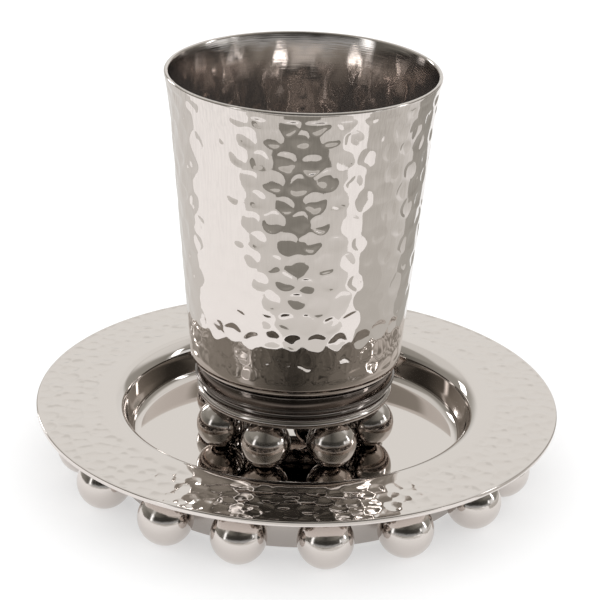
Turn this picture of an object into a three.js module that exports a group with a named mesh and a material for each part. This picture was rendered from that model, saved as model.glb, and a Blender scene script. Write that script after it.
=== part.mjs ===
/*
 * Kiddush cup with its saucer.
 *
 * A hand-hammered, nickel-plated beaker stands in the well of a matching saucer. Both stand on rings
 * of plain metal balls. Units are millimetres and +Z is up. The origin is on the table, under the
 * middle of the saucer, and -Y is the side that faces the person holding it.
 */
import * as THREE from 'three';

// ---------------------------------------------------------------- driving dimensions

// saucer, with heights above the table
const SAUCER_RADIUS = 75;
const SAUCER_HEIGHT = 20.5;
const SHEET = 1.5;                   // thickness of the saucer's metal
const EDGE_ROUND = 0.4;              // softened outer edge
const WELL_DEPTH = 11.6;             // top of the rim down to the well's floor
const SHOULDER_START = 53.7;         // radius at which the rim turns down into the well
const SHOULDER_ROUND = 4.5;
const COVE_ROUND = 3;                // hollow curve between the well's wall and its floor
const WALL_ANGLE = 78;               // slope of the well's wall, in degrees from level

// foot band under the saucer, which its balls are soldered to
const BAND_RADIUS = 53.3;
const BAND_WALL = 1.1;
const BAND_CLEARANCE = 0.8;          // the band stops short of the table

// balls
const SAUCER_BALL_RADIUS = 7.75;
const SAUCER_BALL_RING = 61.5;
const SAUCER_BALL_PHASE = 8.5;       // degrees from the front to the first ball
const CUP_BALL_RADIUS = 7.15;
const CUP_BALL_RING = 22.4;
const CUP_BALL_PHASE = 27.5;
const BALL_FLAT = 1.5;               // radius of the small worn flat that each ball stands on

// each ball was set by eye: its angle off the even spacing, in degrees
const SAUCER_BALL_SETTING = [-0.3, -1.4, 0.4, -2, 0.8, -0.6, 1, 0, -0.9, 0.5, -0.4, 1.1, 1.4, -0.5, 2.3, 0.4];
const CUP_BALL_SETTING = [2, 3.5, 1, 0, 0, -1, -3.5, -2.2];

// the cup stands a little off the middle of the well, as a hand set it down
const CUP_OFFSET = -0.9;             // along X

// body of the cup, with heights above the floor of the well
const CUP_HEIGHT = 110.3;
const LIP_RADIUS = 38.35;            // outside of the mouth
const LIP_FLARE = 0.8;               // how far the lip turns out of the straight taper
const FLARE_HEIGHT = 14;
const FLARE_RINGS = [0, 0.35, 0.6, 0.8];   // where the flare has a ring of facets, up its height
const CUP_WALL = 1.2;
const BODY_BASE_RADIUS = 29.9;       // outside of the straight taper, carried down to the underside
const BODY_BASE = 24.7;              // underside of the body
const BODY_CORNER = 3;               // rounding of the bottom edge

// turned foot of the cup, with heights above the floor of the well
const SOLDER_LINE = 0.3;             // gap between pieces that are soldered together
const INSET_RADIUS = 28.2;           // plain band under the body
const LEDGE_RADIUS = 28.7;
const LEDGE_HEIGHT = 20.8;
const LEDGE_THICKNESS = 0.8;
const LEDGE_BEVEL = 0.3;
const GROOVE_RADIUS = 26.2;          // deepest part of the hollow groove
const GROOVE_UPPER_SLOPE = 0.6;      // height over which the groove runs out under the ledge
const GROOVE_LOWER_SLOPE = 0.4;      // and into the flange below
const FLANGE_RADIUS = 28.1;
const FLANGE_TOP = 17.1;
const FLANGE_BASE = 14.6;
const FLANGE_SWEEP = 75;             // how far the flange's rounded rim curls over, in degrees
const FOOT_BORE = 17;                // the foot is an open ring underneath

// fineness of the curves
const ROUND_SIDES = 60;
const BALL_SIDES = 12;
const BALL_RINGS = 5;
const CORNER_STEPS = 3;
const SHOULDER_STEPS = 4;
const EDGE_STEPS = 1;

// ---------------------------------------------------------------- helpers

const radians = (degrees) => degrees * Math.PI / 180;
const point = (radius, height) => new THREE.Vector2(radius, height);

/** Points on an arc about a centre, from one angle to another in degrees, with both ends. */
function arc(radius, height, round, from, to, steps) {
  return Array.from({ length: steps + 1 }, (_, i) => {
    const angle = radians(from + (to - from) * i / steps);
    return point(radius + round * Math.cos(angle), height + round * Math.sin(angle));
  });
}

/** A solid of revolution about +Z. The profile ends on the axis, or closes on itself as a ring. */
function turned(profile, sides) {
  const ring = profile[0].x > 0;
  const loop = ring ? [...profile, profile[0]] : profile;
  return new THREE.LatheGeometry(loop, sides).rotateX(Math.PI / 2);
}

const nickel = (color, roughness) => new THREE.MeshStandardMaterial({ color, roughness, metalness: 1 });

/** A named piece of the set. */
function piece(name, geometry, material, height = 0) {
  const mesh = new THREE.Mesh(geometry, material);
  mesh.name = name;
  mesh.position.z = height;
  return mesh;
}

// ---------------------------------------------------------------- balls

/** A ball cut off by a small flat underneath, with that flat at height zero. */
function ballGeometry(radius) {
  const flatAngle = Math.asin(BALL_FLAT / radius) * 180 / Math.PI;
  const centre = radius * Math.cos(radians(flatAngle));
  const side = arc(0, centre, radius, flatAngle - 90, 90, BALL_RINGS);
  side[BALL_RINGS].x = 0;
  return turned([point(0, 0), ...side], BALL_SIDES);
}

/** A ring of balls, counted from the front towards +X, each at its own angle. */
function ballRing(name, radius, ring, phase, setting, material, height) {
  const pitch = 360 / setting.length;
  return setting.map((offset, i) => {
    const angle = radians(phase + pitch * i + offset);
    const ball = piece(`${name}_${i + 1}`, ballGeometry(radius), material, height);
    ball.position.x = ring * Math.sin(angle);
    ball.position.y = -ring * Math.cos(angle);
    return ball;
  });
}

// ---------------------------------------------------------------- saucer

/** The upper face of the saucer from its floor out to the rim, lowered and drawn in by an offset. */
function saucerFace(offset) {
  const slope = radians(WALL_ANGLE);
  const shoulderRadius = SHOULDER_START - SHOULDER_ROUND * Math.sin(slope);
  const wallHeight = WELL_DEPTH - (SHOULDER_ROUND + COVE_ROUND) * (1 - Math.cos(slope));
  const coveRadius = shoulderRadius - wallHeight / Math.tan(slope) - COVE_ROUND * Math.sin(slope);
  const floor = SAUCER_HEIGHT - WELL_DEPTH;
  const cove = arc(coveRadius, floor + COVE_ROUND, COVE_ROUND + offset, -90, WALL_ANGLE - 90, CORNER_STEPS);
  const shoulderCentre = SAUCER_HEIGHT - SHOULDER_ROUND;
  const shoulder = arc(
    SHOULDER_START, shoulderCentre, SHOULDER_ROUND - offset, 90 + WALL_ANGLE, 90, SHOULDER_STEPS,
  );
  return [...cove, ...shoulder];
}

function saucerGeometry() {
  const top = SAUCER_HEIGHT;
  const edge = SAUCER_RADIUS - EDGE_ROUND;
  const underside = [point(0, top - WELL_DEPTH - SHEET), ...saucerFace(SHEET)];
  const outerEdge = [
    ...arc(edge, top - SHEET + EDGE_ROUND, EDGE_ROUND, -90, 0, EDGE_STEPS),
    ...arc(edge, top - EDGE_ROUND, EDGE_ROUND, 0, 90, EDGE_STEPS),
  ];
  const face = saucerFace(0).reverse();
  return turned([...underside, ...outerEdge, ...face, point(0, top - WELL_DEPTH)], ROUND_SIDES);
}

/** A plain band whose top edge meets the underside of the saucer's shoulder. */
function footBandGeometry() {
  const inner = BAND_RADIUS - BAND_WALL;
  const shoulderRise = Math.sqrt((SHOULDER_ROUND - SHEET) ** 2 - (SHOULDER_START - inner) ** 2);
  const top = SAUCER_HEIGHT - SHOULDER_ROUND + shoulderRise - SOLDER_LINE;
  return turned([
    point(inner, BAND_CLEARANCE),
    point(BAND_RADIUS, BAND_CLEARANCE),
    point(BAND_RADIUS, top),
    point(inner, top),
  ], ROUND_SIDES);
}

// ---------------------------------------------------------------- cup

/** Outside radius of the body at a height: a straight taper that flares gently at the lip. */
function bodyRadius(height) {
  const taper = (LIP_RADIUS - LIP_FLARE - BODY_BASE_RADIUS) / (CUP_HEIGHT - BODY_BASE);
  const flare = Math.max(0, 1 - (CUP_HEIGHT - height) / FLARE_HEIGHT);
  return BODY_BASE_RADIUS + taper * (height - BODY_BASE) + LIP_FLARE * flare * flare;
}

function bodyGeometry() {
  const lipRound = CUP_WALL / 2;
  const lipHeight = CUP_HEIGHT - lipRound;
  const cornerHeight = BODY_BASE + BODY_CORNER;
  const cornerRadius = bodyRadius(cornerHeight) - BODY_CORNER;
  const flareStart = CUP_HEIGHT - FLARE_HEIGHT;
  const heights = FLARE_RINGS.map((part) => flareStart + (lipHeight - flareStart) * part);
  const outside = heights.map((height) => point(bodyRadius(height), height));
  const inside = heights.map((height) => point(bodyRadius(height) - CUP_WALL, height)).reverse();
  return turned([
    point(0, BODY_BASE),
    ...arc(cornerRadius, cornerHeight, BODY_CORNER, -90, 0, CORNER_STEPS),
    ...outside,
    ...arc(bodyRadius(lipHeight) - lipRound, lipHeight, lipRound, 0, 180, CORNER_STEPS),
    ...inside,
    ...arc(cornerRadius, cornerHeight, BODY_CORNER - CUP_WALL, 0, -90, CORNER_STEPS),
    point(0, BODY_BASE + CUP_WALL),
  ], ROUND_SIDES);
}

function footGeometry() {
  const top = BODY_BASE - SOLDER_LINE;
  const flangeRound = (FLANGE_TOP - FLANGE_BASE) / 2;
  const flangeMiddle = FLANGE_BASE + flangeRound;
  const grooveTop = LEDGE_HEIGHT - LEDGE_THICKNESS;
  return turned([
    point(FOOT_BORE, FLANGE_BASE),
    ...arc(FLANGE_RADIUS - flangeRound, flangeMiddle, flangeRound, -90, FLANGE_SWEEP, CORNER_STEPS),
    point(GROOVE_RADIUS, FLANGE_TOP + GROOVE_LOWER_SLOPE),
    point(GROOVE_RADIUS, grooveTop - GROOVE_UPPER_SLOPE),
    point(LEDGE_RADIUS, grooveTop),
    point(LEDGE_RADIUS, LEDGE_HEIGHT),
    point(INSET_RADIUS, LEDGE_HEIGHT + LEDGE_BEVEL),
    point(INSET_RADIUS, top),
    point(FOOT_BORE, top),
  ], ROUND_SIDES);
}

// ---------------------------------------------------------------- the set

const hammered = nickel(0xd6ccc6, 0.16);
const polished = nickel(0xcfc6c0, 0.08);
const shaded = nickel(0xa99f98, 0.14);
const wellFloor = SAUCER_HEIGHT - WELL_DEPTH;

const saucer = new THREE.Group();
saucer.add(
  piece('saucer', saucerGeometry(), hammered),
  piece('saucer_foot_band', footBandGeometry(), shaded),
  ...ballRing('saucer_ball', SAUCER_BALL_RADIUS, SAUCER_BALL_RING, SAUCER_BALL_PHASE,
    SAUCER_BALL_SETTING, polished, 0),
);

const cup = new THREE.Group();
cup.position.set(CUP_OFFSET, 0, wellFloor);
cup.add(
  piece('cup_body', bodyGeometry(), hammered),
  piece('cup_foot', footGeometry(), polished),
  ...ballRing('cup_ball', CUP_BALL_RADIUS, CUP_BALL_RING, CUP_BALL_PHASE, CUP_BALL_SETTING, polished, 0),
);

const set = new THREE.Group();
set.add(saucer, cup);

export default set;
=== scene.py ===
# %% [markdown]
# # A hammered kiddush cup and its saucer
#
# A kiddush cup holds the wine for a Sabbath blessing. This one is a tapered beaker of nickel-plated metal.
# It stands on eight balls in the well of a saucer, and the saucer stands on sixteen larger balls. The
# beaker and the saucer's rim are covered with hammer marks. The rest is turned and polished smooth.
#
# The lesson has two halves. The first makes the shapes: turned walls, hammer marks and balls. The second
# makes the finish. Bright metal has almost no colour of its own and shows what stands round it, so that
# half spends as much care on the studio as on the shaders.

import math
from collections import namedtuple

import bpy
from mathutils import Matrix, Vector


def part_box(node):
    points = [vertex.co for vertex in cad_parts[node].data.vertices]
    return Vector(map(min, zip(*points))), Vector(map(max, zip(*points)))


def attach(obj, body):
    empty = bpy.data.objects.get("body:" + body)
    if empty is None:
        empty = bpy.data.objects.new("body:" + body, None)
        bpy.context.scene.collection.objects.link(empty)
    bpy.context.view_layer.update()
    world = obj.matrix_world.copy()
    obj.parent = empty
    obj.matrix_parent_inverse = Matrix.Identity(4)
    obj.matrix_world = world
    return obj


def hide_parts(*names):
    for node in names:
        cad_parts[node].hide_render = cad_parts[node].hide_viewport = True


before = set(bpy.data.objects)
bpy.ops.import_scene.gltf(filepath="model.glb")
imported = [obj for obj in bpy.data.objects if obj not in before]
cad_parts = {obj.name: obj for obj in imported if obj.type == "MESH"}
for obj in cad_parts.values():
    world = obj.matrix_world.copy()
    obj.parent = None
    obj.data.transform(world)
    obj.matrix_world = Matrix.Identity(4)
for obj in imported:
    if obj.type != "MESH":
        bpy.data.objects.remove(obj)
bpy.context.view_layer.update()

# %% [markdown]
# ## The camera
#
# The view is that of someone who stands at the table: from in front and about 23 degrees above. A long
# lens from more than half a metre away keeps the ellipses of the mouth and the saucer calm. The camera is
# rolled a little, as a hand-held one is. Its axes are built as two turns of a camera that starts by
# looking straight down: up from the floor by the pitch, then round its own line of sight by the roll.

# %% Camera
CAMERA_BACK = 0.5758
CAMERA_UP = 0.2966
CAMERA_PITCH = math.radians(23.1)
CAMERA_ROLL = math.radians(1.765)
CAMERA_LENS = 132.1

camera = bpy.data.objects.new("camera", bpy.data.cameras.new("camera"))
camera.data.lens = CAMERA_LENS
camera.data.clip_start = 0.01
raise_view = Matrix.Rotation(math.pi / 2 - CAMERA_PITCH, 4, "X")
roll_view = Matrix.Rotation(CAMERA_ROLL, 4, "Z")
camera.matrix_world = Matrix.Translation((0, -CAMERA_BACK, CAMERA_UP)) @ raise_view @ roll_view
bpy.context.scene.collection.objects.link(camera)
bpy.context.scene.camera = camera
print("camera at", tuple(camera.location))

# %% [markdown]
# ## Writing nodes as formulas
#
# Both the hammer marks and the finishes are node trees. A tree of forty Math nodes is hard to read as a
# diagram and harder as code. So one small class wraps an output socket, and its plus, minus, times and
# divide add the Math nodes. `Maker` adds every other kind of node: its type, its settings, then its inputs
# by name.

# %% Sockets that can be added and multiplied
MATH = "ShaderNodeMath"
VECTOR_MATH = "ShaderNodeVectorMath"


class Socket:
    """One output of a node, which can be used in a sum."""

    def __init__(self, maker, output):
        self.maker = maker
        self.output = output

    def __getitem__(self, name):
        """Another output of the same node."""
        outputs = self.output.node.outputs
        return Socket(self.maker, next(s for s in outputs if s.enabled and s.name == name))

    def __add__(self, other):
        return self.maker.math("ADD", self, other)

    def __radd__(self, other):
        return self.maker.math("ADD", other, self)

    def __sub__(self, other):
        return self.maker.math("SUBTRACT", self, other)

    def __rsub__(self, other):
        return self.maker.math("SUBTRACT", other, self)

    def __mul__(self, other):
        return self.maker.math("MULTIPLY", self, other)

    def __rmul__(self, other):
        return self.maker.math("MULTIPLY", other, self)

    def __truediv__(self, other):
        return self.maker.math("DIVIDE", self, other)

    def __rtruediv__(self, other):
        return self.maker.math("DIVIDE", other, self)


print("a socket can be used with + - * and /")


# %% Ramps of warm grey
LESS_GREEN = 0.04
LESS_BLUE = 0.17


def warm_grey(level):
    """A grey that turns warmer as it gets dimmer, as the dim parts of a studio do."""
    dim = 1 - min(level, 1.0)
    return (level, level * (1 - LESS_GREEN * dim), level * (1 - LESS_BLUE * dim), 1)


def fill_ramp(ramp, stops):
    """Sets a ramp's warm greys from (position, level) pairs."""
    while len(ramp.elements) < len(stops):
        ramp.elements.new(1.0)
    for element, (position, level) in zip(ramp.elements, stops):
        element.position = position
        element.color = warm_grey(level)


print("black is", warm_grey(0.0), "and white is", warm_grey(1.0))


# %% Any node by its type, settings and inputs
class Maker:
    """Adds nodes to one tree."""

    def __init__(self, tree):
        self.tree = tree

    def node(self, kind, settings=None, inputs=None):
        """Adds a node: its settings first, then a value or a socket for each named or numbered input."""
        made = self.tree.nodes.new(kind)
        for name, value in (settings or {}).items():
            if name == "stops":
                fill_ramp(made.color_ramp, value)
            else:
                setattr(made, name, value)
        for key, value in (inputs or {}).items():
            self.feed(made, key, value)
        usable = [s for s in made.outputs if s.enabled]
        return Socket(self, usable[0]) if usable else made

    def feed(self, made, key, value):
        if isinstance(key, int):
            target = made.inputs[key]
        else:
            target = next(s for s in made.inputs if s.enabled and s.name == key)
        if isinstance(value, Socket):
            self.tree.links.new(value.output, target)
        else:
            target.default_value = value

    def math(self, operation, *values):
        return self.node(MATH, {"operation": operation}, dict(enumerate(values)))

    def vector(self, operation, *values):
        return self.node(VECTOR_MATH, {"operation": operation}, dict(enumerate(values)))


print("node helpers ready")

# %% [markdown]
# ## Turned shapes
#
# The beaker, its foot, the saucer and the saucer's band are all bodies of revolution, as if spun on a
# lathe. Blender's Screw modifier could sweep an outline round, but it gives every ring the same number of
# sides. The hammered walls need very fine rings and the hidden ones don't, so the rings are laid one by
# one.
# Each has its radius, its height, its number of sides, how much of the hammer's blow it takes, and whether
# it belongs to the inside. Where two rings differ, the finer one has twice the sides of the other.

# %% Outlines
Ring = namedtuple("Ring", "radius height sides give inner", defaults=(0.0, 0.0))


def arc(radius, height, bend, start, end, steps):
    """Points (radius, height) round a centre from one angle to another, in degrees, with both ends."""
    points = []
    for i in range(steps + 1):
        angle = math.radians(start + (end - start) * i / steps)
        points.append((radius + bend * math.cos(angle), height + bend * math.sin(angle)))
    return points


def between(start, end, steps):
    """Points from one to another in a straight line, without either end."""
    parts = [i / steps for i in range(1, steps)]
    return [tuple(a + (b - a) * part for a, b in zip(start, end)) for part in parts]


def rings(points, sides, inner=0.0):
    return [Ring(radius, height, sides, inner=inner) for radius, height in points]


print("a quarter circle in two steps:", arc(0.0, 0.0, 1.0, 0, 90, steps=2))


# %% Faces between two rings
def stitch(low, high, first, second):
    """Faces between two rings whose vertices start at first and second."""
    faces = []
    if low == 1 or high == 1:
        count = max(low, high)
        for i in range(count):
            after = (i + 1) % count
            if low == 1:
                faces.append((first, second + after, second + i))
            else:
                faces.append((first + i, first + after, second))
        return faces
    if low == high:
        for i in range(low):
            after = (i + 1) % low
            faces.append((first + i, first + after, second + after, second + i))
        return faces
    for i in range(min(low, high)):
        after = (i + 1) % min(low, high)
        if low > high:
            a, b, c = first + 2 * i, first + 2 * i + 1, first + (2 * i + 2) % low
            d, e = second + i, second + after
            faces += [(a, b, d), (b, e, d), (b, c, e)]
        else:
            a, b = first + i, first + after
            c, d, e = second + 2 * i, second + 2 * i + 1, second + (2 * i + 2) % high
            faces += [(a, d, c), (a, b, d), (b, e, d)]
    return faces


print("from 4 sides to 8:", len(stitch(4, 8, 0, 4)), "triangles")


# %% A turned mesh
def turned(name, outline, loop=False):
    """A closed mesh swept round Z. The outline runs from the underside outwards, up, and back in."""
    vertices, faces, give, inner, starts = [], [], [], [], []
    for ring in outline:
        starts.append(len(vertices))
        for i in range(ring.sides):
            angle = 2 * math.pi * i / ring.sides
            x, y = ring.radius * math.sin(angle), -ring.radius * math.cos(angle)
            vertices.append((x, y, ring.height))
            give.append(ring.give)
            inner.append(ring.inner)
    pairs = list(zip(range(len(outline)), range(1, len(outline))))
    if loop:
        pairs.append((len(outline) - 1, 0))
    for low, high in pairs:
        faces += stitch(outline[low].sides, outline[high].sides, starts[low], starts[high])
    mesh = bpy.data.meshes.new(name)
    mesh.from_pydata(vertices, [], faces)
    mesh.attributes.new("give", "FLOAT", "POINT").data.foreach_set("value", give)
    mesh.attributes.new("inner", "FLOAT", "POINT").data.foreach_set("value", inner)
    mesh.polygons.foreach_set("use_smooth", [True] * len(faces))
    mesh.update()
    made = bpy.data.objects.new(name, mesh)
    bpy.context.scene.collection.objects.link(made)
    print(name, "has", len(faces), "faces")
    return made


def stand_at(piece, node):
    """Moves a piece turned round the origin to the middle of its CAD node, in the mesh itself."""
    low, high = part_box(node)
    middle = (low + high) / 2
    piece.data.transform(Matrix.Translation((middle.x, middle.y, 0)))
    print(piece.name, "stands at", (middle.x, middle.y))
    return piece


# %% [markdown]
# ## Finishes first, colours later
#
# Geometry Nodes gives each result its material, so the materials have to exist before the trees that use
# them. They are made empty here and filled in after the shapes.

# %% Empty materials
materials = {
    name: bpy.data.materials.new(name)
    for name in ("hammered_nickel", "polished_nickel", "ball_nickel", "plain_nickel", "pale_floor")
}
for material in materials.values():
    material.use_nodes = True
    material.node_tree.nodes.clear()
print("materials:", ", ".join(materials))

# %% [markdown]
# ## Running a tree of Geometry Nodes
#
# A tree is used through a modifier. Its inputs are set by each socket's identifier before anything asks
# for the result. The result is then copied out as a plain mesh and the modifier is taken off, because
# what is kept has to be an ordinary piece.

# %% Start and run a tree
SOCKETS = {"Geometry": "NodeSocketGeometry", "Material": "NodeSocketMaterial"}
COUNTS = ("Rows", "Marks per Row", "Seed", "Fineness")


def new_tree(name, inputs):
    """A maker for a tree with Geometry and the named inputs: whole numbers for counts, else lengths."""
    tree = bpy.data.node_groups.new(name, "GeometryNodeTree")
    for label in ["Geometry", *inputs, "Material"]:
        kind = SOCKETS.get(label, "NodeSocketInt" if label in COUNTS else "NodeSocketFloat")
        tree.interface.new_socket(label, in_out="INPUT", socket_type=kind)
    tree.interface.new_socket("Geometry", in_out="OUTPUT", socket_type="NodeSocketGeometry")
    maker = Maker(tree)
    return maker, maker.node("NodeGroupInput")


def finish_tree(maker, shape, group):
    """Ends a tree with real geometry and its material, and returns the tree."""
    solid = maker.node("GeometryNodeRealizeInstances", inputs={"Geometry": shape})
    dressed = maker.node(
        "GeometryNodeSetMaterial", inputs={"Geometry": solid, "Material": group["Material"]}
    )
    maker.node("NodeGroupOutput", inputs={"Geometry": dressed})
    print(maker.tree.name, "has", len(maker.tree.nodes), "nodes")
    return maker.tree


def run_tree(piece, tree, values):
    """Puts a piece through a tree and keeps the result as its plain mesh."""
    modifier = piece.modifiers.new(tree.name, "NODES")
    modifier.node_group = tree
    for item in tree.interface.items_tree:
        if item.in_out == "INPUT" and item.name in values:
            modifier[item.identifier] = values[item.name]
    evaluated = piece.evaluated_get(bpy.context.evaluated_depsgraph_get())
    mesh = bpy.data.meshes.new_from_object(evaluated)
    piece.modifiers.remove(modifier)
    piece.data = mesh
    mesh.name = piece.name
    mesh.polygons.foreach_set("use_smooth", [True] * len(mesh.polygons))
    mesh.update()
    print(piece.name, "after", tree.name, "has", len(mesh.polygons), "faces")
    return piece


# %% [markdown]
# ## What one blow of the hammer leaves
#
# A round-faced hammer leaves a shallow dish, deepest at the centre and nothing at the edge. A dish that
# deepened as the square of the distance would be part of a sphere. The real face is a little flatter in the
# middle, so the power is above two. Few blows land dead square, so each dish also leans to one side. Each
# one is a tiny concave mirror with a crisp edge. The marks could be modelled one at a time, or drawn as a
# bump in the shader. Moving the wall's own fine mesh gives real dishes, so the outline and every
# reflection agree with them.
#
# Two blows can overlap, and the deeper one wins. Finding the nearest centre is quick, but it can't compare
# two. So the marks are made as two sets. Each point of the surface finds its nearest mark in both, and
# takes the deeper of the two dishes.

# %% The dish made by the nearest mark of a set
LEAN = 0.75
HAMMER_FACE = 2.4
WOBBLES_PER_METRE = 300.0


def dish(maker, marks, spot, radius, depth, normal, seed):
    """How deep the nearest mark of a set is at each point; size, depth and lean vary from mark to mark."""
    nearest = maker.node("GeometryNodeSampleNearest", inputs={"Geometry": marks})

    def of_mark(value, kind):
        return maker.node(
            "GeometryNodeSampleIndex", {"data_type": kind},
            {"Geometry": marks, "Value": value, "Index": nearest},
        )

    centre = of_mark(maker.node("GeometryNodeInputPosition"), "FLOAT_VECTOR")
    away = maker.vector("SUBTRACT", spot, centre)
    across = maker.vector("LENGTH", maker.vector("CROSS_PRODUCT", away, normal))["Value"]
    size = of_mark(radius, "FLOAT")
    part = across / size
    lean = of_mark(maker.node("FunctionNodeRandomValue", {"data_type": "FLOAT_VECTOR"}, {
        "Min": (-LEAN, -LEAN, -LEAN), "Max": (LEAN, LEAN, LEAN), "Seed": seed,
    }), "FLOAT_VECTOR")
    tilted = 1 + maker.vector("DOT_PRODUCT", away, lean)["Value"] / size
    bowl = maker.math("MAXIMUM", 1 - maker.math("POWER", part, HAMMER_FACE), 0.0)
    return bowl * tilted * of_mark(depth, "FLOAT")


def vary(maker, least, most, seed):
    """A random number for each mark."""
    return maker.node("FunctionNodeRandomValue", {"data_type": "FLOAT"}, {
        "Min": least, "Max": most, "Seed": seed,
    })


def wave(maker, spot, per_metre, middle=0.5):
    """Slow unevenness over a surface: noise from 0 to 1, less its middle."""
    noise = maker.node("ShaderNodeTexNoise", inputs={"Vector": spot, "Scale": per_metre, "Detail": 1.0})
    return noise - middle


def spot_with_wobble(maker, spot, amount):
    """The place on the surface, pushed about a little, so that the marks' edges are not true circles."""
    drift = maker.node("ShaderNodeTexNoise", inputs={
        "Vector": spot, "Scale": WOBBLES_PER_METRE, "Detail": 0.0,
    })["Color"]
    centred = maker.vector("SUBTRACT", drift, (0.5, 0.5, 0.5))
    push = maker.node(VECTOR_MATH, {"operation": "SCALE"}, {0: centred, "Scale": amount})
    return maker.vector("ADD", spot, push)


print("a dish leans by up to", LEAN, "of its depth and deepens by power", HAMMER_FACE)

# %% [markdown]
# ## Hammer marks round the beaker
#
# The smith turned the beaker on a stake and struck it row by row, each row shifted by half a mark from the
# one below, with the small errors of a steady hand. A formula gives each mark its row and its place in the
# row. Even and odd rows are the two sets.

# %% The tree for the beaker
SIZE_SPREAD = (0.84, 1.12)
DEPTH_SPREAD = (0.6, 1.15)
WAVES_ON_BEAKER = 110.0


def beaker_tree():
    names = ["Rows", "Marks per Row", "Lowest", "Row Pitch", "Wall Radius", "Taper",
             "Mark Radius", "Depth", "Wander", "Wobble", "Unevenness", "Seed"]
    maker, group = new_tree("marks_in_rows", names)
    per_row = group["Marks per Row"]
    seed = group["Seed"]
    spot = maker.node("GeometryNodeInputPosition")
    wobbly = spot_with_wobble(maker, spot, group["Wobble"])
    parts = maker.node("ShaderNodeSeparateXYZ", inputs={"Vector": spot})
    flat = maker.node("ShaderNodeCombineXYZ", inputs={"X": parts["X"], "Y": parts["Y"]})
    outward = maker.vector("NORMALIZE", flat)
    depths = []
    for shift in (0, 1):
        index = maker.node("GeometryNodeInputIndex")
        row = maker.math("FLOOR", index / per_row)
        place = index - row * per_row
        wander = group["Wander"]
        along = vary(maker, -1.0, 1.0, seed + shift) * wander
        upward = vary(maker, -1.0, 1.0, seed + 2 + shift) * wander
        height = group["Lowest"] + (row * 2 + shift) * group["Row Pitch"] + upward
        radius = group["Wall Radius"] + group["Taper"] * (height - group["Lowest"])
        angle = (place + shift / 2) * 2 * math.pi / per_row + along / radius
        centre = maker.node("ShaderNodeCombineXYZ", inputs={
            "X": radius * maker.math("SINE", angle),
            "Y": radius * maker.math("COSINE", angle) * -1,
            "Z": height,
        })
        marks = maker.node("GeometryNodePoints", inputs={
            "Count": maker.math("MULTIPLY", group["Rows"], per_row), "Position": centre,
        })
        size = vary(maker, *SIZE_SPREAD, seed + 4 + shift) * group["Mark Radius"]
        deep = vary(maker, *DEPTH_SPREAD, seed + 6 + shift) * group["Depth"]
        depths.append(dish(maker, marks, wobbly, size, deep, outward, seed + 8 + shift))
    deepest = maker.math("MAXIMUM", *depths)
    sunk = deepest + wave(maker, spot, WAVES_ON_BEAKER) * group["Unevenness"]
    give = maker.node("GeometryNodeInputNamedAttribute", {"data_type": "FLOAT"}, {"Name": "give"})
    offset = maker.node(VECTOR_MATH, {"operation": "SCALE"}, {0: outward, "Scale": sunk * give * -1})
    struck = maker.node(
        "GeometryNodeSetPosition", inputs={"Geometry": group["Geometry"], "Offset": offset}
    )
    return finish_tree(maker, struck, group)


marks_in_rows = beaker_tree()

# %% [markdown]
# ## The beaker
#
# The body is one sheet: a straight taper that turns out a little at the lip, a rounded lip, and a flat
# bottom with a rounded corner. Its height and its mouth come from the frame. The outside is fine enough for
# about ten faces across each mark. The inside shows the same marks from behind, fainter, as low bumps. The
# blows grow lighter down the lower wall, and the lip and the bottom corner are left plain.

# %% Sizes of the beaker
beaker_low, beaker_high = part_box("cup_body")
LIP_RADIUS = (beaker_high.x - beaker_low.x) / 2
RIM = beaker_high.z
BASE = beaker_low.z
WALL = 0.0012
BASE_RADIUS = 0.0299
LIP_FLARE = 0.0008
FLARE_HEIGHT = 0.014
BODY_CORNER = 0.003
FINE_SIDES = 400
FINE_ROWS = 200
INNER_ROWS = 40
TAPER = (LIP_RADIUS - LIP_FLARE - BASE_RADIUS) / (RIM - BASE)
MARKS_TOP = RIM - 0.0022
MARKS_LOW = BASE + 0.0055
FADE = 0.0009
LIGHT_BLOWS = 0.055
LIGHTEST = 0.3
INNER_SHOW = 0.42
FLAT_PARTS = (0.3, 0.7)
NEAR_CORNER = 0.9
print("beaker", RIM - BASE, "m tall, opening out by", TAPER, "m for each metre of height")


# %% Outline of the beaker
def wall_radius(height):
    """Outside radius of the beaker's wall."""
    flare = max(0.0, 1 - (RIM - height) / FLARE_HEIGHT)
    return BASE_RADIUS + TAPER * (height - BASE) + LIP_FLARE * flare * flare


def struck_part(height):
    """1 where the wall was hammered, falling to 0 at the plain lip and at the bottom corner."""
    top = min(1.0, max(0.0, (MARKS_TOP - height) / FADE))
    bottom = min(1.0, max(0.0, (height - MARKS_LOW) / FADE + 1))
    climb = min(1.0, max(0.0, (height - MARKS_LOW) / LIGHT_BLOWS))
    return top * bottom * (LIGHTEST + (1 - LIGHTEST) * climb)


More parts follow.
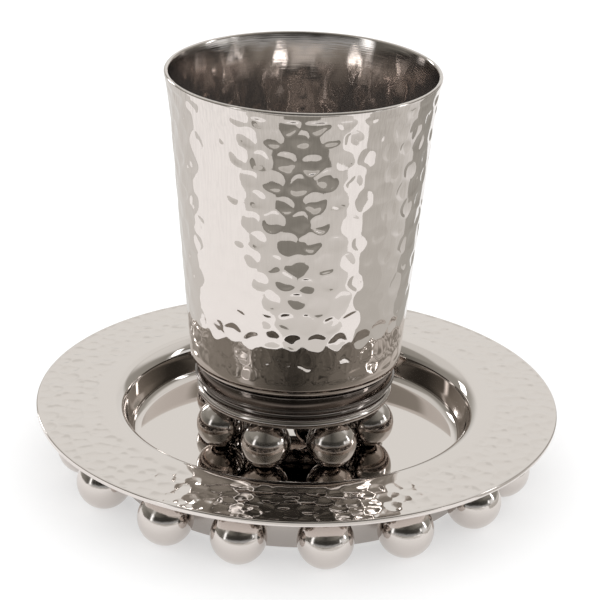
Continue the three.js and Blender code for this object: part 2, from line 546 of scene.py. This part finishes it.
def beaker_outline():
    lip = WALL / 2
    lip_height = RIM - lip
    corner = BASE + BODY_CORNER
    corner_radius = wall_radius(corner) - BODY_CORNER
    made = [Ring(0.0, BASE, 1)]
    made += rings([(corner_radius * part, BASE) for part in FLAT_PARTS], FINE_SIDES // 4)
    made += rings([(corner_radius * NEAR_CORNER, BASE)], FINE_SIDES // 2)
    made += rings(arc(corner_radius, corner, BODY_CORNER, -90, 0, steps=8), FINE_SIDES)
    for i in range(1, FINE_ROWS):
        height = corner + (lip_height - corner) * i / FINE_ROWS
        made.append(Ring(wall_radius(height), height, FINE_SIDES, struck_part(height)))
    made += rings(arc(wall_radius(lip_height) - lip, lip_height, lip, 0, 150, steps=6), FINE_SIDES)
    inner_sides = FINE_SIDES // 2
    for i in range(INNER_ROWS):
        height = lip_height - (lip_height - corner) * i / INNER_ROWS
        give = struck_part(height) * INNER_SHOW
        made.append(Ring(wall_radius(height) - WALL, height, inner_sides, give, 1.0))
    made += rings(arc(corner_radius, corner, BODY_CORNER - WALL, 0, -90, steps=6), inner_sides, 1.0)
    flat = [(corner_radius * part, BASE + WALL) for part in FLAT_PARTS[::-1]]
    made += rings(flat, inner_sides // 2, 1.0)
    made.append(Ring(0.0, BASE + WALL, 1, 0.0, 1.0))
    return made


beaker = turned("beaker", beaker_outline())

# %% Striking the beaker
run_tree(beaker, marks_in_rows, {
    "Rows": 7, "Marks per Row": 32, "Lowest": MARKS_LOW + 0.001, "Row Pitch": 0.0059,
    "Wall Radius": wall_radius(MARKS_LOW), "Taper": TAPER,
    "Mark Radius": 0.0029, "Depth": 0.0003, "Wander": 0.001, "Wobble": 0.0018, "Unevenness": 0.0001,
    "Seed": 5,
    "Material": materials["hammered_nickel"],
})
stand_at(beaker, "cup_body")

# %% [markdown]
# ## The turned foot
#
# Under the beaker sits a turned ring: a plain inset band, a thin ledge, a hollow groove and a rounded
# flange. Each edge keeps a small radius, as a polishing wheel leaves it, because on bright metal it is the
# rounded edges that catch the thin white lines.

# %% Outline of the foot
foot_low, foot_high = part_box("cup_foot")
FOOT_TOP = foot_high.z
FOOT_BASE = foot_low.z
LEDGE_RADIUS = (foot_high.x - foot_low.x) / 2
INSET_RADIUS = LEDGE_RADIUS - 0.0005
FLANGE_RADIUS = LEDGE_RADIUS - 0.0006
GROOVE_RADIUS = LEDGE_RADIUS - 0.0025
FLANGE_TOP = FOOT_BASE + 0.0025
LEDGE_TOP = FOOT_BASE + 0.0062
LEDGE_BASE = LEDGE_TOP - 0.0008
FOOT_BORE = 0.017
FOOT_SIDES = 360
SOFT_EDGE = 0.0002


def foot_outline():
    bend = (FLANGE_TOP - FOOT_BASE) / 2
    edge = (LEDGE_TOP - LEDGE_BASE) / 2
    groove_bend = (LEDGE_BASE - FLANGE_TOP) / 2
    groove_middle = (LEDGE_BASE + FLANGE_TOP) / 2
    points = [(FOOT_BORE, FOOT_BASE)]
    points += between((FOOT_BORE, FOOT_BASE), (FLANGE_RADIUS - bend, FOOT_BASE), steps=6)
    points += arc(FLANGE_RADIUS - bend, FOOT_BASE + bend, bend, -90, 80, steps=18)
    points += arc(GROOVE_RADIUS + groove_bend, groove_middle, groove_bend, 265, 95, steps=18)
    points += arc(LEDGE_RADIUS - edge, LEDGE_TOP - edge, edge, -80, 85, steps=12)
    points += [(INSET_RADIUS, LEDGE_TOP), (INSET_RADIUS, LEDGE_TOP + SOFT_EDGE / 2)]
    points += [(INSET_RADIUS, (LEDGE_TOP + FOOT_TOP) / 2)]
    points += arc(INSET_RADIUS - SOFT_EDGE, FOOT_TOP - SOFT_EDGE, SOFT_EDGE, 0, 90, steps=4)
    points += [(FOOT_BORE, FOOT_TOP)]
    return rings(points, FOOT_SIDES)


foot = stand_at(turned("turned_foot", foot_outline(), loop=True), "cup_foot")

# %% [markdown]
# ## The saucer
#
# The saucer is one sheet too: a flat rim, a smooth shoulder that rolls down into the well, a short wall, a
# tight hollow curve and a flat floor. Only the rim is hammered. The rim's rings are fine, and the rest,
# which is smooth, has fewer sides.

# %% Sizes of the saucer
saucer_low, saucer_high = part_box("saucer")
SAUCER_RADIUS = saucer_high.x
SAUCER_TOP = saucer_high.z
SHEET = 0.0015
WELL_BASE = saucer_low.z
WELL_FLOOR = WELL_BASE + SHEET
SHOULDER_START = 0.0537
SHOULDER_BEND = 0.0045
COVE_BEND = 0.003
WALL_ANGLE = 78
EDGE_BEND = 0.0004
RIM_SIDES = 960
RIM_ROWS = 44
HAMMERED_FROM = 0.0562
OUTER_FADE = 0.0006
INNER_FADE = 0.0022
RIM_UNDERSIDE = (0.058, 0.066)
STEP_TO_COARSE = 0.0008
print("saucer", 2 * SAUCER_RADIUS, "m across, its well", SAUCER_TOP - WELL_FLOOR, "m deep")


# %% Outline of the saucer
def well_face(offset):
    """The upper face from the floor out to the rim, lowered and drawn in by an offset."""
    slope = math.radians(WALL_ANGLE)
    depth = SAUCER_TOP - WELL_FLOOR
    shoulder_radius = SHOULDER_START - SHOULDER_BEND * math.sin(slope)
    wall_height = depth - (SHOULDER_BEND + COVE_BEND) * (1 - math.cos(slope))
    cove_radius = shoulder_radius - wall_height / math.tan(slope) - COVE_BEND * math.sin(slope)
    cove = arc(cove_radius, WELL_FLOOR + COVE_BEND, COVE_BEND + offset, -90, WALL_ANGLE - 90, steps=14)
    centre = SAUCER_TOP - SHOULDER_BEND
    shoulder = arc(SHOULDER_START, centre, SHOULDER_BEND - offset, 90 + WALL_ANGLE, 90, steps=18)
    return cove + between(cove[-1], shoulder[0], steps=4) + shoulder


def saucer_outline():
    floor_side = RIM_SIDES // 4
    edge = SAUCER_RADIUS - EDGE_BEND
    under = SAUCER_TOP - SHEET
    below = well_face(SHEET)
    above = well_face(0.0)[::-1]
    made = [Ring(0.0, WELL_BASE, 1)]
    made += rings([(below[0][0] * part, WELL_BASE) for part in FLAT_PARTS], floor_side // 2)
    made += rings(below, floor_side)
    made += rings([(radius, under) for radius in RIM_UNDERSIDE], RIM_SIDES // 2)
    made += rings(arc(edge, under + EDGE_BEND, EDGE_BEND, -90, 0, steps=5), RIM_SIDES)
    made += rings([(SAUCER_RADIUS, (under + SAUCER_TOP) / 2)], RIM_SIDES)
    made += rings(arc(edge, SAUCER_TOP - EDGE_BEND, EDGE_BEND, 0, 90, steps=5), RIM_SIDES)
    for i in range(1, RIM_ROWS):
        radius = edge + (HAMMERED_FROM - edge) * i / RIM_ROWS
        fade = min(1.0, (edge - radius) / OUTER_FADE) * min(1.0, (radius - HAMMERED_FROM) / INNER_FADE)
        made.append(Ring(radius, SAUCER_TOP, RIM_SIDES, fade))
    made.append(Ring(HAMMERED_FROM - STEP_TO_COARSE, SAUCER_TOP, RIM_SIDES // 2))
    made += rings(above, floor_side)
    made += rings([(above[-1][0] * part, WELL_FLOOR) for part in FLAT_PARTS[::-1]], floor_side // 2)
    made.append(Ring(0.0, WELL_FLOOR, 1))
    return made


saucer = turned("saucer_dish", saucer_outline())

# %% [markdown]
# ## Hammer marks on the rim
#
# On the flat rim there is no stake to turn on, and the marks fall close together in no clear rows. Points
# scattered at random, but never nearer than a set distance, look just so. There are two such sets, as if
# the hammer had gone round twice, the second time with smaller blows set further apart. The dishes are wide
# enough to run into one another, so that only thin ridges stay between them and each mark has corners.

# %% The tree for the rim
PASSES = (1.0, 0.72)
WAVES_ON_RIM = 120.0
MOST_PER_SQUARE_METRE = 400000.0
DISC_SIDES = 96
RIM_SIZE_SPREAD = (0.95, 1.05)
RIM_DEPTH_SPREAD = (0.9, 1.1)
SIZE_SEED = 11
DEPTH_SEED = 21
LEAN_SEED = 31


def rim_tree():
    names = ["Inner Radius", "Outer Radius", "Spacing", "Mark Radius", "Depth", "Unevenness", "Seed"]
    maker, group = new_tree("marks_scattered", names)
    spot = maker.node("GeometryNodeInputPosition")
    up = maker.node("ShaderNodeCombineXYZ", inputs={"Z": 1.0})
    sheet = maker.node("GeometryNodeMeshCircle", {"fill_type": "TRIANGLE_FAN"}, {
        "Vertices": DISC_SIDES, "Radius": group["Outer Radius"],
    })
    height = maker.node("ShaderNodeCombineXYZ", inputs={"Z": SAUCER_TOP})
    raised = maker.node("GeometryNodeTransform", inputs={"Geometry": sheet, "Translation": height})
    distance = maker.vector("LENGTH", maker.vector("MULTIPLY", spot, (1, 1, 0)))["Value"]
    depths = []
    for step, share in enumerate(PASSES):
        scattered = maker.node(
            "GeometryNodeDistributePointsOnFaces", {"distribute_method": "POISSON"},
            {
                "Mesh": raised, "Distance Min": group["Spacing"] / share,
                "Density Max": MOST_PER_SQUARE_METRE, "Seed": group["Seed"] + step,
            },
        )
        inside = maker.math("LESS_THAN", distance, group["Inner Radius"])
        marks = maker.node("GeometryNodeDeleteGeometry", {"domain": "POINT"}, {
            "Geometry": scattered, "Selection": inside,
        })
        size = vary(maker, *RIM_SIZE_SPREAD, SIZE_SEED + step) * group["Mark Radius"] * share
        deep = vary(maker, *RIM_DEPTH_SPREAD, DEPTH_SEED + step) * group["Depth"]
        depths.append(dish(maker, marks, spot, size, deep, up, LEAN_SEED + step))
    deepest = maker.math("MAXIMUM", *depths)
    sunk = deepest + wave(maker, spot, WAVES_ON_RIM) * group["Unevenness"]
    give = maker.node("GeometryNodeInputNamedAttribute", {"data_type": "FLOAT"}, {"Name": "give"})
    offset = maker.node(VECTOR_MATH, {"operation": "SCALE"}, {0: up, "Scale": sunk * give * -1})
    struck = maker.node(
        "GeometryNodeSetPosition", inputs={"Geometry": group["Geometry"], "Offset": offset}
    )
    return finish_tree(maker, struck, group)


run_tree(saucer, rim_tree(), {
    "Inner Radius": HAMMERED_FROM, "Outer Radius": SAUCER_RADIUS, "Spacing": 0.0038,
    "Mark Radius": 0.003, "Depth": 0.0002, "Unevenness": 0.00008, "Seed": 3,
    "Material": materials["hammered_nickel"],
})

# %% [markdown]
# ## The band under the saucer
#
# A plain upright band stands inside the ring of balls, and the balls are soldered to it. It is a strip of
# sheet bent round and joined, so it has square edges with the corners just broken.

# %% Band
band_low, band_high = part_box("saucer_foot_band")
BAND_WALL = 0.0011
BAND_BREAK = 0.00015


def band_outline():
    base, top = band_low.z, band_high.z
    outer = band_high.x
    inner = outer - BAND_WALL
    middle = (base + top) / 2
    points = [(inner, middle)]
    points += arc(inner + BAND_BREAK, base + BAND_BREAK, BAND_BREAK, 180, 270, steps=3)
    points += arc(outer - BAND_BREAK, base + BAND_BREAK, BAND_BREAK, -90, 0, steps=3)
    points += [(outer, middle)]
    points += arc(outer - BAND_BREAK, top - BAND_BREAK, BAND_BREAK, 0, 90, steps=3)
    points += arc(inner + BAND_BREAK, top - BAND_BREAK, BAND_BREAK, 90, 180, steps=3)
    return rings(points, FOOT_SIDES)


band = turned("saucer_band", band_outline(), loop=True)

# %% [markdown]
# ## The balls
#
# Twenty-four plain balls carry the set. Each is cast, ground and polished, and none is quite true. One
# sphere is put on every centre that the frame gives, worn down here and there by a few hundredths of a
# millimetre, and cut off flat where it stands. An icosphere has no poles, so its reflections have no
# pinch. One tree serves both rings of balls.

# %% The tree for the balls
WAVES_ON_BALLS = 130.0
MORE_LOST_THAN_GAINED = 0.6


def ball_tree():
    names = ["Ball Radius", "Fineness", "Resting Height", "Unevenness"]
    maker, group = new_tree("balls_on_centres", names)
    ball = maker.node("GeometryNodeMeshIcoSphere", inputs={
        "Radius": group["Ball Radius"], "Subdivisions": group["Fineness"],
    })
    placed = maker.node(
        "GeometryNodeInstanceOnPoints", inputs={"Points": group["Geometry"], "Instance": ball}
    )
    solid = maker.node("GeometryNodeRealizeInstances", inputs={"Geometry": placed})
    spot = maker.node("GeometryNodeInputPosition")
    normal = maker.node("GeometryNodeInputNormal")
    swell = wave(maker, spot, WAVES_ON_BALLS, MORE_LOST_THAN_GAINED) * group["Unevenness"]
    offset = maker.node(VECTOR_MATH, {"operation": "SCALE"}, {0: normal, "Scale": swell})
    uneven = maker.node("GeometryNodeSetPosition", inputs={"Geometry": solid, "Offset": offset})
    parts = maker.node("ShaderNodeSeparateXYZ", inputs={"Vector": spot})
    lifted = maker.node("ShaderNodeCombineXYZ", inputs={
        "X": parts["X"], "Y": parts["Y"],
        "Z": maker.math("MAXIMUM", parts["Z"], group["Resting Height"]),
    })
    stood = maker.node("GeometryNodeSetPosition", inputs={"Geometry": uneven, "Position": lifted})
    return finish_tree(maker, stood, group)


balls_on_centres = ball_tree()

# %% Both rings of balls
BALL_FLAT = 0.0015


def ball_radius(height):
    """Radius of a ball that stands this high on a flat of radius BALL_FLAT."""
    return (height * height + BALL_FLAT * BALL_FLAT) / (2 * height)


def balls(name, prefix):
    """All the balls of one ring as one piece, and the CAD nodes they stand for."""
    nodes = sorted(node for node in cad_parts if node.startswith(prefix))
    corners = [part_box(node) for node in nodes]
    rest = corners[0][0].z
    top = corners[0][1].z
    radius = ball_radius(top - rest)
    centres = [((a.x + b.x) / 2, (a.y + b.y) / 2, top - radius) for a, b in corners]
    mesh = bpy.data.meshes.new(name)
    mesh.from_pydata(centres, [], [])
    made = bpy.data.objects.new(name, mesh)
    bpy.context.scene.collection.objects.link(made)
    run_tree(made, balls_on_centres, {
        "Ball Radius": radius, "Fineness": 5, "Resting Height": rest, "Unevenness": 0.00005,
        "Material": materials["ball_nickel"],
    })
    return made, nodes


cup_balls, cup_ball_nodes = balls("beaker_feet", "cup_ball_")
saucer_balls, saucer_ball_nodes = balls("saucer_feet", "saucer_ball_")

# %% [markdown]
# ## Nickel
#
# Nickel is a warm grey mirror: a metallic shader with a warm grey Base Color and a low roughness. Left at
# that, it looks too perfect. On the real set a thin tarnish comes and goes, and each wheel and brush has
# left its own fine lines. Roughness could stand for those lines, but it blurs a reflection alike in all
# directions. So they are a bump, a few thousandths of a millimetre high, which smears a reflection only
# across the lines. Noise that is pressed together along some of the axes draws them.

# %% Tarnish, painted shade and fine lines
NICKEL = (0.72, 0.666, 0.632)
# the colour towards which tarnish and painted shade darken the metal
TARNISH_AND_SHADE = (0.12, 0.1, 0.09, 1)
MICRON = 0.000001
NOISE_DETAIL = 3.0


def lines(maker, place, per_metre, detail=NOISE_DETAIL):
    """Noise with its own fineness along each axis. Where it is coarse along one, lines run that way."""
    return maker.node("ShaderNodeTexNoise", inputs={
        "Vector": maker.vector("MULTIPLY", place, per_metre), "Scale": 1.0, "Detail": detail,
    })


def tarnish_and_shade(maker, colour, amount):
    """The metal's colour, darkened by an amount of tarnish, of painted shade deep inside the beaker, and of
    plain darkening above the foot's flange.
    """
    return maker.node("ShaderNodeMix", {"data_type": "RGBA"}, {
        "Factor": amount, "A": (*colour, 1), "B": TARNISH_AND_SHADE,
    })


def relief(maker, microns):
    """A normal bent by a height in thousandths of a millimetre."""
    return maker.node("ShaderNodeBump", inputs={"Height": microns, "Strength": 1.0, "Distance": MICRON})


def rising(maker, height, start, end, most=1.0):
    """0 below the start, climbing to its most at the end."""
    return maker.node("ShaderNodeMapRange", inputs={
        "Value": height, "From Min": start, "From Max": end, "To Min": 0.0, "To Max": most,
    })


print("nickel is", NICKEL, "and its tarnish", TARNISH_AND_SHADE[:3])

# %% [markdown]
# ## Smooth nickel
#
# The foot, the balls and the band share one recipe with different numbers. The foot was buffed to a
# mirror. Above its flange, the ledge, the groove and the band are given a darker colour, and the flange
# stays bright. The balls came from a rougher casting and keep some of its fine pits. The
# band under the saucer was only brushed, in level lines.

# %% Foot, balls and band
CLOUDS_PER_METRE = 60.0
CLOUDINESS = 0.06
DARKER_EDGE = 0.0006
DARKENING_ABOVE = 0.75


def smooth_nickel(name, colour, roughness, per_metre, microns, detail=NOISE_DETAIL, darker_above=None):
    """A bright finish with its fine lines, faint clouds of tarnish, and a darker colour above a given
    height.
    """
    maker = Maker(materials[name].node_tree)
    place = maker.node("ShaderNodeTexCoord")["Object"]
    clouds = maker.node("ShaderNodeTexNoise", inputs={
        "Vector": place, "Scale": CLOUDS_PER_METRE, "Detail": NOISE_DETAIL,
    })
    darkening = clouds * CLOUDINESS
    # above the given height the colour is made darker
    if darker_above is not None:
        height = maker.node("ShaderNodeSeparateXYZ", inputs={"Vector": place})["Z"]
        darkening = darkening + rising(maker, height, darker_above, darker_above + DARKER_EDGE, DARKENING_ABOVE)
    shader = maker.node("ShaderNodeBsdfPrincipled", inputs={
        "Base Color": tarnish_and_shade(maker, colour, darkening), "Metallic": 1.0, "Roughness": roughness,
        "Normal": relief(maker, lines(maker, place, per_metre, detail) * microns),
    })
    maker.node("ShaderNodeOutputMaterial", inputs={"Surface": shader})


smooth_nickel("polished_nickel", (0.58, 0.53, 0.5), 0.05, (300, 300, 300), 1, darker_above=FLANGE_TOP)
smooth_nickel("ball_nickel", (0.67, 0.62, 0.585), 0.12, (420, 420, 420), 45, detail=4.0)
smooth_nickel("plain_nickel", (0.5, 0.46, 0.43), 0.25, (60, 60, 1800), 4)
foot.data.materials.append(materials["polished_nickel"])
band.data.materials.append(materials["plain_nickel"])
print("foot, balls and band finished")

# %% [markdown]
# ## Hammered nickel
#
# After hammering, the outside was brushed upright, most of all in the plain zone by the lip, and dirt has
# stayed in those lines. The inside was turned against a polishing wheel, so its lines run level. They are
# deepest near the lip, and they draw each reflection out into a tall streak. Deeper in, away from the lip,
# the colour is darkened: painted shade for the inside of the beaker. Metallic falls a little there too, so
# that the inside catches some of the light that comes down through the mouth. The attribute that the inner
# rings carry tells the two faces apart.

# %% Beaker and saucer
BRUSHED_ZONE = 0.06
LIP_ZONE = 0.02
LIP_EDGE = 0.001
UPRIGHT_LINES = (2600, 2600, 70)
UPRIGHT_MICRONS = 3
LEVEL_LINES = (50, 50, 5200)
LEVEL_MICRONS = 1.5
LIP_MICRONS = 16
DIRT_LINES = (1900, 1900, 45)
CLEAN_BELOW = 0.35
DIRTINESS = 0.4
# how far painted shade darkens the colour deep inside the beaker
INNER_PAINTED_SHADE = 0.27
LESS_METALLIC = 0.08
GLOSS = 0.035
LIP_HAZE = 0.05


def hammered_nickel():
    """The finish that the beaker and the saucer share."""
    maker = Maker(materials["hammered_nickel"].node_tree)
    place = maker.node("ShaderNodeTexCoord")["Object"]
    inner = maker.node("ShaderNodeAttribute", {"attribute_name": "inner"})["Fac"]
    height = maker.node("ShaderNodeSeparateXYZ", inputs={"Vector": place})["Z"]
    brushed = rising(maker, height, RIM - BRUSHED_ZONE, RIM)
    by_lip = rising(maker, height, RIM - LIP_ZONE, RIM - LIP_EDGE)
    upright = lines(maker, place, UPRIGHT_LINES) * brushed * UPRIGHT_MICRONS
    level = lines(maker, place, LEVEL_LINES) * (by_lip * LIP_MICRONS + LEVEL_MICRONS)
    streaks = lines(maker, place, DIRT_LINES, detail=2.0) - CLEAN_BELOW
    darkening = streaks * brushed * (1 - inner) * DIRTINESS
    # painted shade: deep inside the beaker, away from the lip, the colour is darkened
    deep_inside = inner * (1 - by_lip)
    shader = maker.node("ShaderNodeBsdfPrincipled", inputs={
        "Base Color": tarnish_and_shade(maker, NICKEL, darkening + deep_inside * INNER_PAINTED_SHADE),
        "Metallic": 1 - deep_inside * LESS_METALLIC,
        "Normal": relief(maker, upright * (1 - inner) + level * inner),
        "Roughness": GLOSS + inner * by_lip * LIP_HAZE,
    })
    maker.node("ShaderNodeOutputMaterial", inputs={"Surface": shader})


hammered_nickel()
print("beaker and saucer finished")

# %% [markdown]
# ## The floor
#
# The set stands on a wide pale floor. About half of the floor's brightness is a glow of its own. That
# keeps the shadow under the saucer soft and faint, as it is where light comes from all sides.

# %% Floor
FLOOR_REACH = 4.0
FLOOR_GREY = (0.5, 0.5, 0.5, 1)
FLOOR_GLOW = 0.5
WHITE = (1.0, 1.0, 1.0, 1)

corners = [(-1, -1), (1, -1), (1, 1), (-1, 1)]
floor_mesh = bpy.data.meshes.new("floor")
floor_mesh.from_pydata([(x * FLOOR_REACH, y * FLOOR_REACH, 0) for x, y in corners], [], [(0, 1, 2, 3)])
floor = bpy.data.objects.new("floor", floor_mesh)
bpy.context.scene.collection.objects.link(floor)
floor.data.materials.append(materials["pale_floor"])
floor_maker = Maker(materials["pale_floor"].node_tree)
matte = floor_maker.node("ShaderNodeBsdfPrincipled", inputs={
    "Base Color": FLOOR_GREY, "Roughness": 0.9, "Emission Color": WHITE, "Emission Strength": FLOOR_GLOW,
})
floor_maker.node("ShaderNodeOutputMaterial", inputs={"Surface": matte})
print("floor", 2 * FLOOR_REACH, "m across")

# %% [markdown]
# ## The room that the metal sees
#
# An even white sky lights the floor. If the metal saw that sky too, it would be white all over and lose its
# shape. So a reflected ray sees another room: dim, darkest in front, with pale panels and a few bright
# strips. The Light Path node tells the two kinds of ray apart. Real lamps could make the same room, but
# they would light the floor as well, and each one would throw a shadow.
#
# A direction has an azimuth, in degrees from the front towards +X, and an elevation above the floor. Each
# panel or strip is a box in those two angles, with a soft edge.

# %% Directions and soft boxes
Panel = namedtuple("Panel", "azimuth elevation half_width half_height soft level")
DEGREES = 180 / math.pi

world = bpy.data.worlds.new("studio")
bpy.context.scene.world = world
world.use_nodes = True
world.node_tree.nodes.clear()
studio = Maker(world.node_tree)
toward = studio.node("ShaderNodeSeparateXYZ", inputs={"Vector": studio.node("ShaderNodeTexCoord")})
azimuth = studio.math("ARCTAN2", toward["X"], toward["Y"] * -1) * DEGREES
elevation = studio.math("ARCSINE", toward["Z"]) * DEGREES


def within(distance, half, soft):
    """1 less than half away from the middle, falling smoothly to 0 over a soft edge."""
    return studio.node("ShaderNodeMapRange", {"interpolation_type": "SMOOTHSTEP"}, {
        "Value": distance, "From Min": half - soft / 2, "From Max": half + soft / 2,
        "To Min": 1.0, "To Max": 0.0,
    })


def glow_of(panel):
    """How bright one panel makes each direction."""
    turn = studio.math("WRAP", azimuth - panel.azimuth, 180.0, -180.0)
    across = within(studio.math("ABSOLUTE", turn), panel.half_width, panel.soft)
    upright = within(studio.math("ABSOLUTE", elevation - panel.elevation), panel.half_height, panel.soft)
    return across * upright * panel.level


print("directions ready")

# %% [markdown]
# ## Panels and strips
#
# What each piece of metal shows decides where the panels go. The saucer's flat rim shows the backdrop, so
# that is wide and even. The balls and the lip show the low panels at table height. Where two panels
# overlap, the brighter one is seen. The strips are narrow and bright. They give the inside of the beaker
# its tall streaks and the front of the rim its sparkle. Each line gives the azimuth, the elevation, half
# the width, half the height and the softness of the edge in degrees, and then the level.

# %% Panels, strips and the dim room
PANELS = [
    Panel(180, 24, 22, 18, 26, 0.46),  # the backdrop
    Panel(164, 26, 14, 30, 8, 0.44),  # a taller piece at its right-hand end
    Panel(180, 48, 66, 17, 14, 0.34),  # the wall above it
    Panel(122, 45, 28, 15, 14, 0.4),  # the wall on the right, high up
    Panel(-57, 38, 9, 8, 9, 0.35),  # a small panel, front left
    Panel(82, 4, 13, 11, 8, 0.7),  # a low panel on the right
    Panel(0, 90, 180, 12, 16, 0.3),  # the ceiling
    Panel(0, 3, 62, 4, 5, 0.38),  # a long low panel along the front
]
STRIPS = [
    Panel(-56, 15, 3, 13, 11, 2.2),  # front left, with a wide soft edge
    Panel(64, 12, 3, 5, 6, 1.9),  # front right, short
    Panel(90, 18, 3, 10, 3, 4.0),  # right
    Panel(-139, 15, 4, 8, 3, 6.5),  # behind on the left, the brightest
]
# degrees round from the front, and the level there
ROOM = [(0, 0.03), (40, 0.05), (75, 0.16), (110, 0.32), (150, 0.38), (180, 0.44)]
HIGH_WALL = Panel(0, 62, 180, 38, 12, 0.24)  # a paler belt all round, high up

around = studio.math("ABSOLUTE", azimuth) / 180
high_up = studio.math("ABSOLUTE", elevation - HIGH_WALL.elevation)
room = studio.node("ShaderNodeValToRGB", {"stops": [(turn / 180, level) for turn, level in ROOM]}, {
    "Fac": around + within(high_up, HIGH_WALL.half_height, HIGH_WALL.soft) * HIGH_WALL.level,
})
lamps = glow_of(PANELS[0])
for panel in PANELS[1:]:
    lamps = studio.math("MAXIMUM", lamps, glow_of(panel))
for strip in STRIPS:
    lamps = lamps + glow_of(strip)
print(len(PANELS), "panels and", len(STRIPS), "strips")

# %% [markdown]
# ## One world for two kinds of ray
#
# The sky is a little brighter than white, so that the floor comes out pale all over. The room and its lit
# panels are added together, and the kind of ray decides between them and the sky.

# %% Sky for the floor, room for the metal
SKY_STRENGTH = 1.25
COOL_LAMP = (1.0, 1.03, 1.05, 1)

sky = studio.node("ShaderNodeBackground", inputs={"Color": WHITE, "Strength": SKY_STRENGTH})
dim_room = studio.node("ShaderNodeBackground", inputs={"Color": room, "Strength": 1.0})
lit = studio.node("ShaderNodeBackground", inputs={"Color": COOL_LAMP, "Strength": lamps})
reflected = studio.node("ShaderNodeAddShader", inputs={0: dim_room, 1: lit})
mirrored = studio.node("ShaderNodeLightPath")["Is Glossy Ray"]
seen = studio.node("ShaderNodeMixShader", inputs={0: mirrored, 1: sky, 2: reflected})
studio.node("ShaderNodeOutputWorld", inputs={"Surface": seen})
bpy.context.scene.view_settings.view_transform = "Standard"
print("sky and room ready")

# %% [markdown]
# ## Cards on the floor
#
# The beaker leans outwards and is seen from above, so its wall shows the floor round the set and not the
# room. The upright stripes on it are therefore cards that lie on the floor. Only reflected rays see them.
# Each one is a sheet that glows, graded from near to far. The beaker shows the near end of a card low down
# and the far end near its lip. The dark card in front has a corner that points at the beaker, and that
# makes the dark wedge under the lip, where every hammer mark stands out.

# %% A card
def card(name, corners, stops, direction=(0, -1, 0)):
    """A glowing card that shows in reflections only, with its levels at distances along a direction."""
    mesh = bpy.data.meshes.new(name)
    mesh.from_pydata(corners, [], [tuple(range(len(corners)))])
    made = bpy.data.objects.new(name, mesh)
    bpy.context.scene.collection.objects.link(made)
    material = bpy.data.materials.new(name)
    material.use_nodes = True
    material.node_tree.nodes.clear()
    maker = Maker(material.node_tree)
    place = maker.node("ShaderNodeTexCoord")["Object"]
    along = maker.vector("DOT_PRODUCT", place, direction)["Value"]
    level = maker.node("ShaderNodeValToRGB", {"stops": stops}, {"Fac": along})
    glow = maker.node("ShaderNodeEmission", inputs={"Color": level, "Strength": 1.0})
    maker.node("ShaderNodeOutputMaterial", inputs={"Surface": glow})
    mesh.materials.append(material)
    for ray in ("camera", "diffuse", "shadow", "transmission", "volume_scatter"):
        setattr(made, "visible_" + ray, False)
    print("card", name, "with", len(corners), "corners")


# %% The cards in front
CARD_HEIGHT = 0.0003
# corners on the floor as (x, y), then levels as (distance in front, level)
GREY_CARD = [(-0.6, -0.24), (-0.171, -0.137), (-0.008, -0.104), (0.094, -0.084), (0.138, -0.169),
             (0.40, -0.7), (0.40, -1.4), (-0.6, -1.4)]
GREY_LEVELS = [(0.09, 0.84), (0.13, 0.77), (0.2, 0.72), (0.34, 0.66), (0.5, 0.6), (0.9, 0.55)]
DARK_CARD = [(0, -0.144), (0.126, -0.221), (0.16, -0.3), (-0.22, -0.3), (-0.126, -0.221)]
DARK_LEVELS = [(0.15, 0.3), (0.19, 0.27), (0.23, 0.33), (0.3, 0.36)]

card("grey_in_front", [(x, y, CARD_HEIGHT) for x, y in GREY_CARD], GREY_LEVELS)
card("dark_in_front", [(x, y, 2 * CARD_HEIGHT) for x, y in DARK_CARD], DARK_LEVELS)  # on top

# %% The cards at the sides and behind
WEDGE_INNER = 0.1
WEDGE_MIDDLE = 0.3
WEDGE_OUTER = 1.6
WEDGES = [  # name, from and to in degrees from the front towards +X, near level, far level
    ("grey_at_right", 56, 82, 0.58, 0.68),
    ("light_grey_at_right", 82, 98, 0.6, 0.78),
    ("light_at_right", 98, 112, 0.6, 0.9),
    ("dark_behind_right", 112, 144, 0.5, 0.38),
    ("light_behind_right", 144, 178, 1.0, 1.1),
    ("grey_behind_left", 178, 255, 0.74, 0.8),
]


def on_floor(radius, turn):
    angle = math.radians(turn)
    return (radius * math.sin(angle), -radius * math.cos(angle), CARD_HEIGHT)


for name, start, end, near, far in WEDGES:
    corners = [on_floor(WEDGE_INNER, start), on_floor(WEDGE_INNER, end)]
    corners += [on_floor(WEDGE_OUTER, end), on_floor(WEDGE_OUTER, start)]
    middle = math.radians((start + end) / 2)
    outwards = (math.sin(middle), -math.cos(middle), 0)
    card(name, corners, [(WEDGE_INNER, near), (WEDGE_MIDDLE, far)], outwards)

# %% [markdown]
# ## Tying it to the frame
#
# Every piece rides on the one body and stands for its CAD nodes, which are hidden.

# %% Ride and replace
STANDS_FOR = {
    beaker: (["cup_body"], "hammered_nickel"),
    foot: (["cup_foot"], "polished_nickel"),
    cup_balls: (cup_ball_nodes, "polished_nickel"),
    saucer: (["saucer"], "hammered_nickel"),
    saucer_balls: (saucer_ball_nodes, "polished_nickel"),
    band: (["saucer_foot_band"], "plain_nickel"),
}
for piece, (nodes, slot) in STANDS_FOR.items():
    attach(piece, "root")
    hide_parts(*nodes)
print("pieces tied to the frame:", len(STANDS_FOR))
